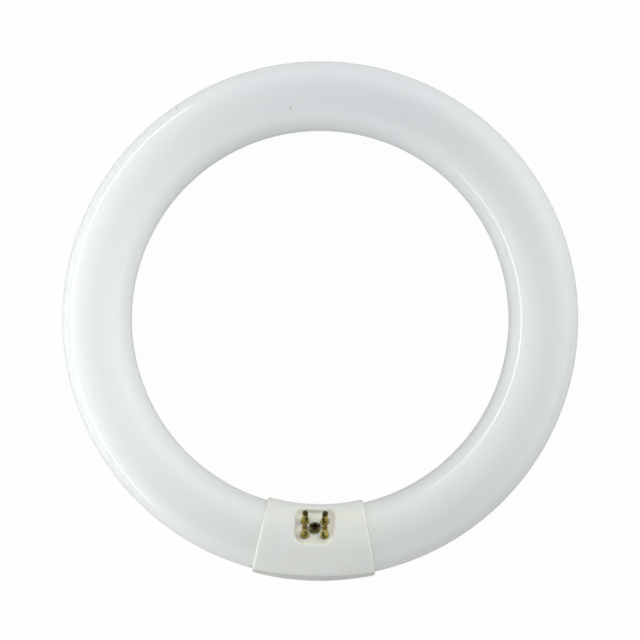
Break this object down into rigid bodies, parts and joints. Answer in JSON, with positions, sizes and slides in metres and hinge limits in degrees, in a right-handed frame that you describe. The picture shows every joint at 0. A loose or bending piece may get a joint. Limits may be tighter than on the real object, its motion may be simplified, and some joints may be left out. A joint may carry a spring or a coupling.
{
  "type": "circular fluorescent tube",
  "caption": "Ring of white-coated glass tube whose sealed ends meet in a moulded base with contact pins in a recessed pocket; it gives off light.",
  "frame": {"origin": "centre of the ring, on the plane of the tube's centre line", "axes": "+Z along the ring's axis on the side that the pins face, -Y towards the base, +X to the right as the pins are looked at"},
  "size_m": [0.2096, 0.211, 0.0321],
  "materials": {
    "coated_glass": "clear glass over a white powder coat",
    "base_plastic": "smooth moulded",
    "pin_brass": "bright drawn",
    "screw_metal": "dark plated",
    "wire_metal": "tinned"
  },
  "bodies": {
    "root": {"glass_tube": "coated_glass", "base_front_shell": "base_plastic", "base_back_shell": "base_plastic", "base_screw": "screw_metal", "contact_pin_inner_left": "pin_brass", "lead_wire_inner_left": "wire_metal", "contact_pin_inner_right": "pin_brass", "lead_wire_inner_right": "wire_metal", "contact_pin_outer_left": "pin_brass", "lead_wire_outer_left": "wire_metal", "contact_pin_outer_right": "pin_brass", "lead_wire_outer_right": "wire_metal"}
  },
  "joints": []
}
